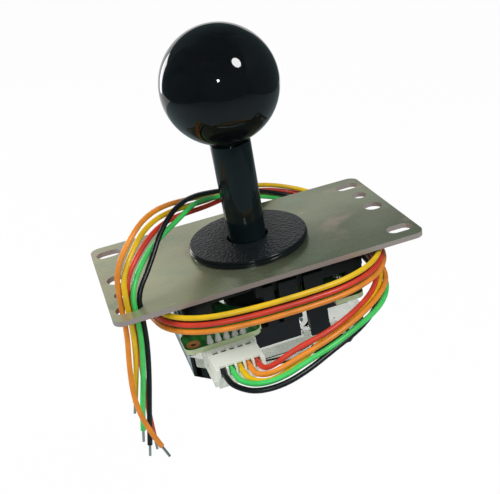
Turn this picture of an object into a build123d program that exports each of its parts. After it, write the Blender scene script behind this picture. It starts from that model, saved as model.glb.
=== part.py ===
"""Arcade joystick lever: a ball-topped shaft that tilts in a ball pivot and works four switches.

Millimetres. The origin is the middle of the plate's top face, on the axis of the upright shaft.
+X runs along the plate, +Y to the back and +Z up the shaft.
"""

from build123d import *
import os
from math import acos, cos, pi, radians, sin, sqrt, tan

os.makedirs("parts", exist_ok=True)

# Mounting plate
PLATE_LENGTH = 95.0
PLATE_WIDTH = 53.0
PLATE_THICKNESS = 1.6
PLATE_CORNER = 3.2
PLATE_OPENING = 24.0
SLOT_INSET_X = 5.5
SLOT_INSET_Y = 6.5
SLOT_SPACING_X = PLATE_LENGTH - 2 * SLOT_INSET_X
SLOT_SPACING_Y = PLATE_WIDTH - 2 * SLOT_INSET_Y
SLOT_LENGTH = 8.0
SLOT_WIDTH = 5.0
END_HOLE_INSET = 5.0
END_HOLE_SPACING = PLATE_LENGTH - 2 * END_HOLE_INSET
END_HOLE = 6.0
SIDE_HOLE = 4.8
SIDE_HOLE_OFFSET = 10.5
SCREW_SQUARE = 21.0
SCREW_HEAD = 5.2
SCREW_HEAD_DEPTH = 1.4
SCREW_SHANK = 2.8
SCREW_REACH = 8.0
SCREW_COVER = 1.0

# Ball pivot and the tilt that every opening allows
TILT = 7.5
PIVOT_DEPTH = 8.0
PIVOT_BALL = 15.0
PIVOT_COLLAR = 12.0
PIVOT_COLLAR_DEPTH = 1.0
PIVOT_FOOT_DEPTH = 13.8
SOCKET_CLEARANCE = 0.05
SOCKET_MOUTH = 16.4
TILT_CLEARANCE = 0.35

# Ball top, shaft and shaft cover
BALL = 35.0
BALL_HEIGHT = 50.6
BALL_FLAT = 11.0
NECK = 10.0
NECK_LENGTH = 0.6
INSERT = 9.0
INSERT_LENGTH = 12.5
INSERT_RECESS = 0.6
STUD = 6.0
STUD_LENGTH = 11.5
SHAFT_UPPER = 10.0
SHAFT_MIDDLE = 8.0
SHAFT_LOWER = 6.0
SHAFT_END_DEPTH = 30.2
SHAFT_CHAMFER = 0.6
SHAFT_SLOT_WIDTH = 1.0
SHAFT_SLOT_DEPTH = 0.7
COVER_TOP = 12.3
COVER_FOOT = 11.8
SLIDE_CLEARANCE = 0.05

# Dust washer and the slip disc under it
WASHER = 37.4
WASHER_THICKNESS = 1.6
WASHER_CHAMFER = 0.45
WASHER_CLEARANCE = 0.6
SLIP_DISC = 36.4
SLIP_THICKNESS = 0.8

# Housing
HOUSING_LENGTH = 56.4
HOUSING_WIDTH = 50.0
HOUSING_CORNER = 4.0
DECK_THICKNESS = 4.6
SOCKET_BOSS = 26.0
FLOOR_DEPTH = 14.4
SCREW_BOSS = 6.4
CORNER_BOSS = 6.0
CORNER_BOSS_LENGTH = 3.0
CORNER_BOSS_INSET = 3.4
PANEL_TOP_DEPTH = 3.6
PANEL_THICKNESS = 2.4
PANEL_STEP = 1.6
RECESS_DEPTH = 5.0
RECESS_ROOF = 1.2
RECESS_RIM = 2.0
RIB_A = (-4.4, -1.0)
RIB_B = (0.5, 6.4)
PILLAR = (8.3, 14.3)
PILLAR_FOOT_DEPTH = 24.2

# Return spring, its seat, the actuator and the retaining ring
SEAT = 16.0
SEAT_THICKNESS = 1.0
SPRING_MEAN = 10.8
SPRING_WIRE = 1.0
SPRING_TURNS = 5
SPRING_GAP = 0.05
FLANGE_TOP_DEPTH = 17.8
FLANGE_FOOT_DEPTH = 22.0
ACTUATOR_FOOT = 15.6
ACTUATOR_TAPER = 2.0
ACTUATOR_CUP = 12.4
ACTUATOR_WEB = 1.6
RING_OUTER = 9.2
RING_GROOVE = 4.6
RING_THICKNESS = 0.8
RING_MOUTH = 3.6
ACTUATOR_FOOT_DEPTH = 28.6

# Circuit board and switches
BOARD_DEPTH = 15.0
BOARD_THICKNESS = 1.6
BOARD_INSET_X = 1.2
BOARD_INSET_Y = 0.4
BOARD_LENGTH = HOUSING_LENGTH - 2 * BOARD_INSET_X
BOARD_WIDTH = HOUSING_WIDTH - 2 * BOARD_INSET_Y
BOARD_CORNER = 2.5
BOARD_OPENING = 29.2
BOARD_NOTCH = (-6.6, 17.4)
BOARD_NOTCH_DEPTH = 3.6
TAB_LEFT = -30.0
TAB_RIGHT = -7.0
TAB_REACH = 2.6
TAB_DEPTH = 9.8
TAB_HOLE_INSET = 2.8
TAB_FRONT = -BOARD_WIDTH / 2 - TAB_REACH
TAB_BACK = TAB_FRONT + TAB_DEPTH
TAB_HOLE = (TAB_LEFT + TAB_HOLE_INSET, TAB_FRONT + TAB_HOLE_INSET)
TAB_HOLE_DIAMETER = 1.6
SWITCH_LENGTH = 19.8
SWITCH_DEPTH = 10.2
SWITCH_HEIGHT = 6.4
SWITCH_FACE = BOARD_WIDTH / 2
SWITCH_OFFSET = -4.7
SWITCH_HOLE = 2.4
SWITCH_HOLE_SPACING = 9.5
SWITCH_HOLE_INSET = 2.6
PLUNGER_WIDTH = 3.1
PLUNGER_HEIGHT = 1.7
PLUNGER_INSIDE = 3.2
PLUNGER_PROUD = 1.4
PLUNGER_TRAVEL = 0.5
PLUNGER_CLEARANCE = 0.05
SWITCH_PINS = (-8.8, -6.3, -3.8)
SWITCH_PIN = 0.9
SWITCH_PIN_INSET = 1.2
PIN_HOLE_CLEARANCE = 0.15
SOLDER_HEIGHT = 1.3
HEADER_SOLDER_HEIGHT = 2.6
SOLDER_FOOT = 2.2
SOLDER_TIP = 1.0

# Five-way connector
WAYS = 5
PITCH = 2.5
CONNECTOR_X = -17.5
HEADER_WIDTH = 15.8
HEADER_SETBACK = 2.4
HEADER_DEPTH = 3.4
HEADER_BACK = TAB_FRONT + HEADER_SETBACK
HEADER_FRONT = HEADER_BACK - HEADER_DEPTH
HEADER_HEIGHT = 6.0
LEDGE_LENGTH = 9.2
LEDGE_FRONT = HEADER_FRONT - LEDGE_LENGTH
LEDGE_THICKNESS = 1.8
PLUG_WIDTH = 14.2
PLUG_LENGTH = 11.3
PLUG_FRONT = HEADER_FRONT - PLUG_LENGTH
PLUG_TOP_DEPTH = 16.2
PLUG_LIP_DEPTH = 22.0
CHANNEL = 1.9
CHANNEL_DEPTH = 17.8
CHANNEL_MOUTH = 1.8
WINDOW = 1.6
WINDOW_INSET = 1.2
PIN = 0.64
PIN_INSET = 1.2
PIN_ROW = HEADER_BACK - PIN_INSET
PIN_REACH = 5.0
CONTACT = 1.6

# Restrictor gate
GATE_FOOT_DEPTH = 30.4
GATE_FLOOR = 2.8
GATE_WALL = 2.0
GATE_CHAMFER = 8.0
GATE_RIM_DEPTH = 23.4
GATE_GUIDE = 34.0
GUIDE_LIP = 1.4
GUIDE_STEP = 1.5
GUIDE_CLEARANCE = 0.1
GUIDE_CORNER = 2.5
HOOK_WIDTH = 2.2
HOOK_TOP_DEPTH = 21.5
HOOK_GAP = 0.25

# Wires, with the share of a run that the bend at each end of it takes
WIRE = 1.6
TIP = 0.8
TIP_LENGTH = 4.0
BEND_SHARE = 0.45

# The way of each wire from the plug to the front run
STARTS = {
    "black": [
        (-22.5, -37.7, -17.8), (-22.5, -43.5, -17.8), (-20.7, -47.3, -18.5), (-16.8, -51.8, -19.8),
        (-9.4, -53.2, -19.5), (-1.0, -51.2, -18.2),
    ],
    "green": [
        (-20.0, -37.7, -17.8), (-20.0, -43.1, -17.8), (-18.3, -46.6, -18.2), (-14.7, -50.2, -19.2),
        (-8.4, -51.5, -18.4), (-1.0, -49.8, -16.7),
    ],
    "yellow": [
        (-17.5, -37.7, -17.8), (-17.5, -42.9, -17.8), (-15.9, -46.0, -17.9), (-12.6, -49.0, -18.2),
        (-7.4, -49.8, -17.0), (-1.0, -48.5, -15.0),
    ],
    "orange": [
        (-15.0, -37.7, -17.8), (-15.0, -42.8, -17.8), (-13.6, -45.8, -17.1), (-10.5, -48.2, -16.4),
        (-6.0, -49.1, -14.8), (-1.0, -48.2, -13.0),
    ],
    "red": [
        (-12.5, -37.7, -17.8), (-12.5, -42.8, -17.8), (-11.2, -45.7, -16.6), (-8.4, -47.3, -14.6),
        (-1.6, -46.6, -11.4),
    ],
}
WIRES = tuple(STARTS)

# Along the front: x, y and heading of the bundle, then each wire's place outward of it and height
FRONT_RUN = [
    (7.0, -47.0, 12, ((2.3, -16.6), (1.4, -15.0), (0.3, -13.4), (-0.7, -11.8), (-1.8, -10.2))),
    (17.0, -42.6, 30, ((1.3, -16.3), (1.5, -14.4), (0.6, -12.8), (-0.5, -11.3), (-1.6, -9.9))),
    (26.8, -35.4, 43, ((-0.6, -15.8), (1.3, -14.7), (0.9, -12.8), (-0.3, -11.3), (-1.6, -9.9))),
    (34.0, -24.5, 65, ((-0.9, -13.8), (0.9, -14.6), (1.6, -12.6), (-0.1, -11.5), (-1.7, -10.6))),
    (37.0, -9.0, 84, ((-1.7, -14.9), (0.6, -15.2), (1.4, -12.2), (-0.4, -13.2), (-1.6, -11.4))),
    (37.2, 8.0, 96, ((-1.8, -14.2), (-0.5, -16.2), (1.2, -11.0), (0.9, -14.6), (-0.2, -12.7))),
]

# Twice round the body as one stack: x, y, heading and height of its middle
STACK = ((-1.3, -0.5), (-0.8, -2.5), (0.3, 2.1), (1.2, -1.9), (0.8, 0.1))
LOOPS = [
    (34.0, 23.5, 120, -13.0), (22.8, 34.4, 155, -12.6), (6.0, 37.6, 178, -12.0), (-11.0, 37.2, 189, -11.2),
    (-26.5, 32.6, 217, -10.2), (-36.0, 20.0, 250, -9.2), (-37.6, 4.5, 271, -8.0), (-35.2, -10.5, 282, -6.8),
    (-33.0, -24.0, 295, -5.8), (-24.0, -32.8, 337, -4.9), (-10.5, -35.8, 352, -4.6), (4.0, -36.0, 5, -4.8),
    (17.5, -34.8, 11, -5.1), (29.0, -29.6, 40, -5.2), (36.2, -18.8, 65, -5.4), (37.6, -4.5, 86, -5.6),
    (37.2, 10.0, 95, -5.8), (35.2, 23.5, 108, -5.8), (30.2, 33.4, 142, -4.4), (20.5, 35.0, 186, -0.4),
]

# Over the plate and behind the shaft, fanning out towards the slot
ARCH = [
    (11.5, 30.4, 208, ((-1.4, 3.9), (-0.8, 1.8), (0.3, 5.6), (2.5, 2.4), (0.6, 3.5))),
    (2.8, 24.8, 214, ((-1.5, 8.8), (-1.2, 6.8), (0.3, 8.0), (2.5, 7.4), (0.8, 6.1))),
    (-6.0, 18.0, 221, ((-1.5, 12.6), (-1.5, 10.6), (0.5, 9.6), (2.0, 10.9), (0.8, 7.6))),
    (-14.0, 9.8, 227, ((-1.4, 16.2), (-1.6, 14.0), (0.7, 12.8), (1.5, 14.8), (0.6, 10.7))),
    (-21.0, 1.8, 229, ((-1.8, 16.8), (-1.5, 13.5), (0.9, 15.9), (0.9, 18.3), (0.7, 13.7))),
    (-28.0, -6.2, 229, ((-1.6, 13.6), (0.5, 11.9), (0.7, 17.7), (0.3, 20.6), (0.5, 15.3))),
    (-34.5, -13.4, 229, ((-1.5, 6.4), (0.2, 8.6), (0.3, 16.8), (0.0, 20.4), (0.1, 13.2))),
]

# Down through the slot to the bare ends
ENDS = {
    "black": [
        (-38.9, -19.7, 2.6), (-39.0, -19.9, -4.6), (-39.6, -20.0, -13.0), (-41.6, -20.3, -24.0),
        (-44.4, -20.6, -36.0), (-46.6, -20.8, -46.5),
    ],
    "green": [
        (-40.3, -20.9, 4.4), (-40.5, -21.1, -3.4), (-41.2, -21.2, -12.0), (-43.2, -21.8, -22.0),
        (-45.9, -22.2, -32.0), (-47.4, -22.4, -39.5),
    ],
    "yellow": [
        (-42.3, -20.8, 10.6), (-42.4, -20.9, 2.0), (-42.6, -20.9, -7.0), (-43.8, -20.6, -16.0),
        (-45.6, -20.0, -24.0), (-47.4, -19.6, -31.0),
    ],
    "orange": [
        (-43.9, -19.8, 13.0), (-44.1, -19.8, 2.5), (-44.4, -19.9, -8.0), (-46.4, -21.2, -18.0),
        (-47.6, -24.0, -27.0), (-46.4, -27.0, -35.5), (-43.6, -28.8, -42.5),
    ],
    "red": [
        (-41.4, -18.9, 8.2), (-41.5, -19.0, 1.0), (-41.7, -18.8, -8.0), (-42.5, -18.2, -18.0),
        (-43.6, -17.8, -29.0), (-44.4, -17.6, -39.0), (-44.6, -17.5, -47.5),
    ],
}

SIDES = ("front", "right", "back", "left")

# The pivot centre and the levels that follow from the sizes above
pivot_z = -PIVOT_DEPTH
corner_tilt = sqrt(2) * tan(radians(TILT))
cover_foot_z = -PIVOT_COLLAR_DEPTH
shaft_top_z = BALL_HEIGHT - sqrt((BALL / 2) ** 2 - (BALL_FLAT / 2) ** 2) - NECK_LENGTH
deck_top_z = -PLATE_THICKNESS
deck_foot_z = deck_top_z - DECK_THICKNESS
floor_z = -FLOOR_DEPTH
seat_foot_z = floor_z - SEAT_THICKNESS
board_foot_z = -BOARD_DEPTH - BOARD_THICKNESS
switch_foot_z = board_foot_z - SWITCH_HEIGHT
plunger_z = board_foot_z - SWITCH_HEIGHT / 2
switch_inner = SWITCH_FACE - SWITCH_DEPTH
actuator_foot_z = -ACTUATOR_FOOT_DEPTH
cup_z = actuator_foot_z + ACTUATOR_WEB
gate_foot_z = -GATE_FOOT_DEPTH
gate_floor_z = gate_foot_z + GATE_FLOOR
guide_lip_z = gate_foot_z + GUIDE_LIP
swing = tan(radians(TILT))


def box(x, y, z):
    """A block between two limits on each axis."""
    middle = ((x[0] + x[1]) / 2, (y[0] + y[1]) / 2, (z[0] + z[1]) / 2)
    return Pos(*middle) * Box(abs(x[1] - x[0]), abs(y[1] - y[0]), abs(z[1] - z[0]))


def rod(diameter, low, high, at=(0, 0)):
    """An upright cylinder between two heights."""
    upright = (Align.CENTER, Align.CENTER, Align.MIN)
    return Pos(at[0], at[1], low) * Cylinder(diameter / 2, high - low, align=upright)


def turned(points):
    """A solid turned about the shaft axis from its half section, given as radius and height."""
    section = make_face(Polyline(*[(r, 0, z) for r, z in points], close=True))
    return revolve(section, Axis.Z)


def slab(length, width, corner, low, high):
    """An upright plate with rounded corners, centred on the shaft axis."""
    return Pos(0, 0, low) * extrude(RectangleRounded(length, width, corner), high - low)


def about_axis(piece, turn):
    """The piece turned about the shaft axis to one of the four sides."""
    return Rot(0, 0, 90 * turn) * piece


def wall_distance(turn):
    """How far the housing's outer face on that side is from the shaft axis."""
    return HOUSING_WIDTH / 2 if turn % 2 == 0 else HOUSING_LENGTH / 2


def screw_places():
    return GridLocations(SCREW_SQUARE, SCREW_SQUARE, 2, 2)


def mounting_plate():
    outline = RectangleRounded(PLATE_LENGTH, PLATE_WIDTH, PLATE_CORNER)
    outline -= Circle(PLATE_OPENING / 2)
    outline -= GridLocations(SLOT_SPACING_X, SLOT_SPACING_Y, 2, 2) * SlotOverall(SLOT_LENGTH, SLOT_WIDTH)
    outline -= GridLocations(END_HOLE_SPACING, 0, 2, 1) * Circle(END_HOLE / 2)
    side = (END_HOLE_SPACING / 2, SIDE_HOLE_OFFSET)
    outline -= Locations(side, (-side[0], -side[1])) * Circle(SIDE_HOLE / 2)
    plate = extrude(outline, -PLATE_THICKNESS)
    return plate - screw_places() * plate_screw(SLIDE_CLEARANCE)


def plate_screw(clearance=0.0):
    """A countersunk screw, or its hole when a clearance is given."""
    head = SCREW_HEAD / 2 + clearance
    shank = SCREW_SHANK / 2 + clearance
    return turned([(0, 0), (head, 0), (shank, -SCREW_HEAD_DEPTH), (shank, -SCREW_REACH), (0, -SCREW_REACH)])


def dust_washer():
    hole = COVER_FOOT / 2 + WASHER_CLEARANCE
    top = SLIP_THICKNESS + WASHER_THICKNESS
    rim = WASHER / 2
    return turned([
        (hole, SLIP_THICKNESS), (rim, SLIP_THICKNESS), (rim, top - WASHER_CHAMFER),
        (rim - WASHER_CHAMFER, top), (hole, top),
    ])


def slip_disc():
    """The thin disc under the washer: it follows the shaft along X, so its hole leaves room along Y."""
    hole = COVER_FOOT / 2 + (PIVOT_DEPTH + SLIP_THICKNESS) * swing + TILT_CLEARANCE
    return turned([(hole, 0), (SLIP_DISC / 2, 0), (SLIP_DISC / 2, SLIP_THICKNESS), (hole, SLIP_THICKNESS)])


def ball_top():
    ball = Pos(0, 0, BALL_HEIGHT) * Sphere(BALL / 2)
    flat_z = shaft_top_z + NECK_LENGTH
    ball &= Pos(0, 0, flat_z) * Cylinder(BALL, 2 * BALL, align=(Align.CENTER, Align.CENTER, Align.MIN))
    ball += rod(NECK, shaft_top_z, flat_z)
    insert_z = shaft_top_z + INSERT_RECESS
    ball -= rod(INSERT, insert_z, insert_z + INSERT_LENGTH)
    return ball - rod(STUD + 2 * SLIDE_CLEARANCE, shaft_top_z, insert_z)


def ball_insert():
    insert_z = shaft_top_z + INSERT_RECESS
    sleeve = rod(INSERT, insert_z, insert_z + INSERT_LENGTH)
    return sleeve - rod(STUD + 2 * SLIDE_CLEARANCE, insert_z, insert_z + INSERT_LENGTH)


def shaft():
    end = -SHAFT_END_DEPTH
    groove = actuator_foot_z - RING_THICKNESS
    stud_z = shaft_top_z + STUD_LENGTH
    body = turned([
        (0, end), (SHAFT_LOWER / 2 - SHAFT_CHAMFER, end), (SHAFT_LOWER / 2, end + SHAFT_CHAMFER),
        (SHAFT_LOWER / 2, groove), (RING_GROOVE / 2, groove), (RING_GROOVE / 2, actuator_foot_z),
        (SHAFT_LOWER / 2, actuator_foot_z), (SHAFT_LOWER / 2, -PIVOT_FOOT_DEPTH),
        (SHAFT_MIDDLE / 2, -PIVOT_FOOT_DEPTH), (SHAFT_MIDDLE / 2, cover_foot_z),
        (SHAFT_UPPER / 2, cover_foot_z), (SHAFT_UPPER / 2, shaft_top_z), (STUD / 2, shaft_top_z),
        (STUD / 2, stud_z - SHAFT_CHAMFER), (STUD / 2 - SHAFT_CHAMFER, stud_z), (0, stud_z),
    ])
    half = SHAFT_SLOT_WIDTH / 2
    return body - box((-SHAFT_LOWER, SHAFT_LOWER), (-half, half), (end, end + SHAFT_SLOT_DEPTH))


def shaft_cover():
    bore = SHAFT_UPPER / 2 + SLIDE_CLEARANCE
    return turned([
        (bore, cover_foot_z), (COVER_FOOT / 2, cover_foot_z), (COVER_TOP / 2, shaft_top_z), (bore, shaft_top_z),
    ])


def pivot_ball():
    ball = Pos(0, 0, pivot_z) * Sphere(PIVOT_BALL / 2)
    ball += rod(PIVOT_COLLAR, pivot_z + PIVOT_BALL / 4, cover_foot_z)
    ball &= rod(2 * PIVOT_BALL, -PIVOT_FOOT_DEPTH, cover_foot_z)
    return ball - rod(SHAFT_MIDDLE + 2 * SLIDE_CLEARANCE, -PIVOT_FOOT_DEPTH, cover_foot_z)


def spring_seat():
    reach = (FLOOR_DEPTH + SEAT_THICKNESS - PIVOT_DEPTH) * corner_tilt
    hole = SHAFT_LOWER + 2 * (reach + SLIDE_CLEARANCE)
    return rod(SEAT, seat_foot_z, floor_z) - rod(hole, seat_foot_z, floor_z)


def return_spring():
    low = cup_z + SPRING_WIRE / 2 + SPRING_GAP
    high = seat_foot_z - SPRING_WIRE / 2 - SPRING_GAP
    coil = Pos(0, 0, low) * Helix((high - low) / SPRING_TURNS, high - low, SPRING_MEAN / 2)
    start = Plane(origin=coil @ 0, z_dir=coil % 0)
    return sweep(start * Circle(SPRING_WIRE / 2), path=coil, is_frenet=True)


def flange_radius():
    """The widest the actuator can be and still stop just short of a pressed plunger."""
    tip = switch_inner - PLUNGER_PROUD + PLUNGER_TRAVEL
    arm = -plunger_z - PIVOT_DEPTH
    return (tip - arm * swing / cos(radians(TILT))) * cos(radians(TILT)) - TILT_CLEARANCE


def actuator():
    foot = ACTUATOR_FOOT / 2
    flange = flange_radius()
    top, under = -FLANGE_TOP_DEPTH, -FLANGE_FOOT_DEPTH
    cup = ACTUATOR_CUP / 2
    bore = SHAFT_LOWER / 2 + SLIDE_CLEARANCE
    return turned([
        (bore, actuator_foot_z), (foot, actuator_foot_z), (foot, under - ACTUATOR_TAPER), (flange, under),
        (flange, top), (cup, top), (cup, cup_z), (bore, cup_z),
    ])


def e_ring():
    low, high = actuator_foot_z - RING_THICKNESS, actuator_foot_z
    ring = rod(RING_OUTER, low, high) - rod(RING_GROOVE + 2 * SLIDE_CLEARANCE, low, high)
    half = RING_MOUTH / 2
    return ring - box((0, RING_OUTER), (-half, half), (low, high))


def front_panels(turn):
    """Two ribs and a latch pillar under the deck's edge, drawn for the front and turned to their side."""
    wall = -wall_distance(turn)
    depth = (wall, wall + PANEL_THICKNESS)
    ribs = [box(x, depth, (board_foot_z, deck_foot_z)) for x in (RIB_A, RIB_B)]
    pillar = box(PILLAR, depth, (-PILLAR_FOOT_DEPTH, deck_foot_z))
    return [about_axis(piece, turn) for piece in (*ribs, pillar)]


def panel_cuts(turn):
    """The step above the panels, the two grooves between them and the cored recess beside them."""
    wall = -wall_distance(turn)
    corner = CORNER_BOSS_INSET + CORNER_BOSS / 2 + RECESS_RIM - wall_distance(turn + 1)
    recess = box(
        (corner, RIB_A[0] - RECESS_RIM), (wall, wall + RECESS_DEPTH), (deck_foot_z, deck_top_z - RECESS_ROOF)
    )
    step = box((RIB_A[0], PILLAR[1]), (wall, wall + PANEL_STEP), (-PANEL_TOP_DEPTH, deck_top_z))
    grooves = [
        box((left[1], right[0]), (wall, wall + PANEL_STEP), (deck_foot_z, deck_top_z))
        for left, right in ((RIB_A, RIB_B), (RIB_B, PILLAR))
    ]
    return [about_axis(piece, turn) for piece in (recess, step, *grooves)]


def socket():
    """The hollow that the pivot ball and the tilting shaft need."""
    reach = (FLOOR_DEPTH - PIVOT_DEPTH) * corner_tilt
    throat = SHAFT_MIDDLE + 2 * (reach + TILT_CLEARANCE)
    hollow = Pos(0, 0, pivot_z) * Sphere(PIVOT_BALL / 2 + SOCKET_CLEARANCE)
    hollow += rod(SOCKET_MOUTH, pivot_z, deck_top_z)
    return hollow + rod(throat, floor_z, pivot_z)


def corner_places():
    inset = 2 * CORNER_BOSS_INSET
    return GridLocations(HOUSING_LENGTH - inset, HOUSING_WIDTH - inset, 2, 2)


def housing():
    deck = slab(HOUSING_LENGTH, HOUSING_WIDTH, HOUSING_CORNER, deck_foot_z, deck_top_z)
    for turn in range(4):
        deck -= panel_cuts(turn)
        deck += front_panels(turn)
    deck += rod(SOCKET_BOSS, floor_z, deck_foot_z)
    deck += screw_places() * rod(SCREW_BOSS, -SCREW_REACH - SCREW_COVER, deck_foot_z)
    deck += corner_places() * rod(CORNER_BOSS, deck_foot_z - CORNER_BOSS_LENGTH, deck_foot_z)
    deck -= screw_places() * rod(SCREW_SHANK + 2 * SLIDE_CLEARANCE, -SCREW_REACH, deck_top_z)
    return deck - socket()


def board_outline():
    outline = RectangleRounded(BOARD_LENGTH, BOARD_WIDTH, BOARD_CORNER)
    tab = RectangleRounded(TAB_RIGHT - TAB_LEFT, TAB_BACK - TAB_FRONT, BOARD_CORNER)
    tab = Pos((TAB_LEFT + TAB_RIGHT) / 2, (TAB_FRONT + TAB_BACK) / 2) * tab
    outline = outline + tab - Circle(BOARD_OPENING / 2)
    for turn in range(4):
        wall = -wall_distance(turn)
        width = BOARD_NOTCH[1] - BOARD_NOTCH[0]
        notch = Pos(sum(BOARD_NOTCH) / 2, wall) * Rectangle(width, 2 * BOARD_NOTCH_DEPTH)
        outline -= about_axis(notch, turn)
    return outline - Pos(*TAB_HOLE) * Circle(TAB_HOLE_DIAMETER / 2)


def switch_pin_places():
    """Where the switch pins pass through the board, on all four sides."""
    row = [Vector(SWITCH_OFFSET + x, -SWITCH_FACE + SWITCH_PIN_INSET) for x in SWITCH_PINS]
    return [(p.rotate(Axis.Z, 90 * turn).X, p.rotate(Axis.Z, 90 * turn).Y) for turn in range(4) for p in row]


def header_pin_places():
    first = CONNECTOR_X - PITCH * (WAYS - 1) / 2
    return [(first + PITCH * way, PIN_ROW) for way in range(WAYS)]


def circuit_board():
    board = Pos(0, 0, board_foot_z) * extrude(board_outline(), BOARD_THICKNESS)
    for place in switch_pin_places():
        board -= rod(SWITCH_PIN + 2 * PIN_HOLE_CLEARANCE, board_foot_z, -BOARD_DEPTH, place)
    for place in header_pin_places():
        board -= rod(PIN + 2 * PIN_HOLE_CLEARANCE, board_foot_z, -BOARD_DEPTH, place)
    return board


def switch_case(turn):
    x = (SWITCH_OFFSET - SWITCH_LENGTH / 2, SWITCH_OFFSET + SWITCH_LENGTH / 2)
    case = box(x, (-SWITCH_FACE, -switch_inner), (switch_foot_z, board_foot_z))
    holes = Pos(SWITCH_OFFSET, -SWITCH_FACE + SWITCH_HOLE_INSET) * GridLocations(SWITCH_HOLE_SPACING, 0, 2, 1)
    case -= holes * rod(SWITCH_HOLE, switch_foot_z, board_foot_z)
    half_width = PLUNGER_WIDTH / 2 + PLUNGER_CLEARANCE
    half_height = PLUNGER_HEIGHT / 2 + PLUNGER_CLEARANCE
    deep = -switch_inner - PLUNGER_INSIDE - PLUNGER_TRAVEL - PLUNGER_CLEARANCE
    case -= box(
        (-half_width, half_width), (deep, -switch_inner), (plunger_z - half_height, plunger_z + half_height)
    )
    return about_axis(case, turn)


def plunger(turn):
    tip_r = PLUNGER_HEIGHT / 2
    tip = -switch_inner + PLUNGER_PROUD - tip_r
    half = PLUNGER_WIDTH / 2
    stem = box((-half, half), (-switch_inner - PLUNGER_INSIDE, tip), (plunger_z - tip_r, plunger_z + tip_r))
    stem += Pos(0, tip, plunger_z) * Rot(0, 90, 0) * Cylinder(tip_r, PLUNGER_WIDTH)
    return about_axis(stem, turn)


def switch_pins():
    top = -BOARD_DEPTH + SOLDER_HEIGHT / 2
    return [rod(SWITCH_PIN, board_foot_z, top, place) for place in switch_pin_places()]


def solder_joint(pin, height, place):
    """A small cone of solder on the board's top, round its pin."""
    upright = (Align.CENTER, Align.CENTER, Align.MIN)
    cone = Cone(SOLDER_FOOT / 2, SOLDER_TIP / 2, height, align=upright)
    return Pos(*place, -BOARD_DEPTH) * cone - rod(pin, -BOARD_DEPTH, -BOARD_DEPTH + height / 2, place)


def solder_joints():
    switches = [solder_joint(SWITCH_PIN, SOLDER_HEIGHT, place) for place in switch_pin_places()]
    return switches + [solder_joint(PIN, HEADER_SOLDER_HEIGHT, place) for place in header_pin_places()]


def pin_header():
    half = HEADER_WIDTH / 2
    x = (CONNECTOR_X - half, CONNECTOR_X + half)
    foot = board_foot_z - HEADER_HEIGHT
    header = box(x, (HEADER_FRONT, HEADER_BACK), (foot, board_foot_z))
    header += box(x, (LEDGE_FRONT, HEADER_BACK), (foot, foot + LEDGE_THICKNESS))
    for place in header_pin_places():
        header -= header_pin(place)
    return header


def header_pin(place):
    """A square pin that comes down through the board and turns forward into the plug."""
    half = PIN / 2
    x = (place[0] - half, place[0] + half)
    z = (-CHANNEL_DEPTH - half, -CHANNEL_DEPTH + half)
    down = rod(PIN, z[0], -BOARD_DEPTH + HEADER_SOLDER_HEIGHT / 2, place)
    return down + box(x, (HEADER_FRONT - PIN_REACH, place[1] + half), z)


def connector_plug():
    """The plug on the header: a lip in front of the ledge, and a window and an open mouth for each way."""
    half = PLUG_WIDTH / 2
    sides = (CONNECTOR_X - half, CONNECTOR_X + half)
    foot = board_foot_z - HEADER_HEIGHT + LEDGE_THICKNESS
    y = (PLUG_FRONT, HEADER_FRONT)
    plug = box(sides, y, (foot, -PLUG_TOP_DEPTH))
    plug += box(sides, (PLUG_FRONT, LEDGE_FRONT - SLIDE_CLEARANCE), (-PLUG_LIP_DEPTH, foot))
    mouth = (PLUG_FRONT, PLUG_FRONT + CHANNEL_MOUTH)
    for x, _ in header_pin_places():
        reach = CHANNEL / 2
        plug -= box((x - reach, x + reach), y, (-CHANNEL_DEPTH - reach, -CHANNEL_DEPTH + reach))
        window = (HEADER_FRONT - WINDOW_INSET - WINDOW, HEADER_FRONT - WINDOW_INSET)
        plug -= box((x - WINDOW / 2, x + WINDOW / 2), window, (-CHANNEL_DEPTH, -PLUG_TOP_DEPTH))
        plug -= box((x - reach, x + reach), mouth, (-CHANNEL_DEPTH, -PLUG_TOP_DEPTH))
    return plug


def crimp_contacts():
    half = CONTACT / 2
    hole = PIN / 2 + SLIDE_CLEARANCE
    y = (PLUG_FRONT + CHANNEL_MOUTH, HEADER_FRONT)
    pieces = []
    for x, _ in header_pin_places():
        contact = box((x - half, x + half), y, (-CHANNEL_DEPTH - half, -CHANNEL_DEPTH + half))
        pieces.append(contact - box(
            (x - hole, x + hole), (HEADER_FRONT - PIN_REACH, HEADER_FRONT),
            (-CHANNEL_DEPTH - hole, -CHANNEL_DEPTH + hole),
        ))
    return pieces


def gate_hooks(turn):
    """The two clear hooks that grip the latch pillar on one side."""
    wall = -wall_distance(turn)
    places = (
        (PILLAR[0] - HOOK_GAP - HOOK_WIDTH, PILLAR[0] - HOOK_GAP),
        (PILLAR[1] + HOOK_GAP, PILLAR[1] + HOOK_GAP + HOOK_WIDTH),
    )
    z = (-GATE_RIM_DEPTH, -HOOK_TOP_DEPTH)
    return [about_axis(box(x, (wall, wall + GATE_WALL), z), turn) for x in places]


def pillar_notch(turn):
    """The notch in the gate's rim where the pillar's foot stands."""
    wall = -wall_distance(turn)
    x = (PILLAR[0] - HOOK_GAP, PILLAR[1] + HOOK_GAP)
    return about_axis(box(x, (wall, wall + PANEL_THICKNESS), (-PILLAR_FOOT_DEPTH, -GATE_RIM_DEPTH)), turn)


def gate_block(inset, low):
    """The gate's outline with cut corners, drawn in by the inset, from one height up to the rim."""
    outline = Rectangle(HOUSING_LENGTH - 2 * inset, HOUSING_WIDTH - 2 * inset)
    outline = chamfer(outline.vertices(), GATE_CHAMFER - (2 - sqrt(2)) * inset)
    return Pos(0, 0, low) * extrude(outline, -GATE_RIM_DEPTH - low)


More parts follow.
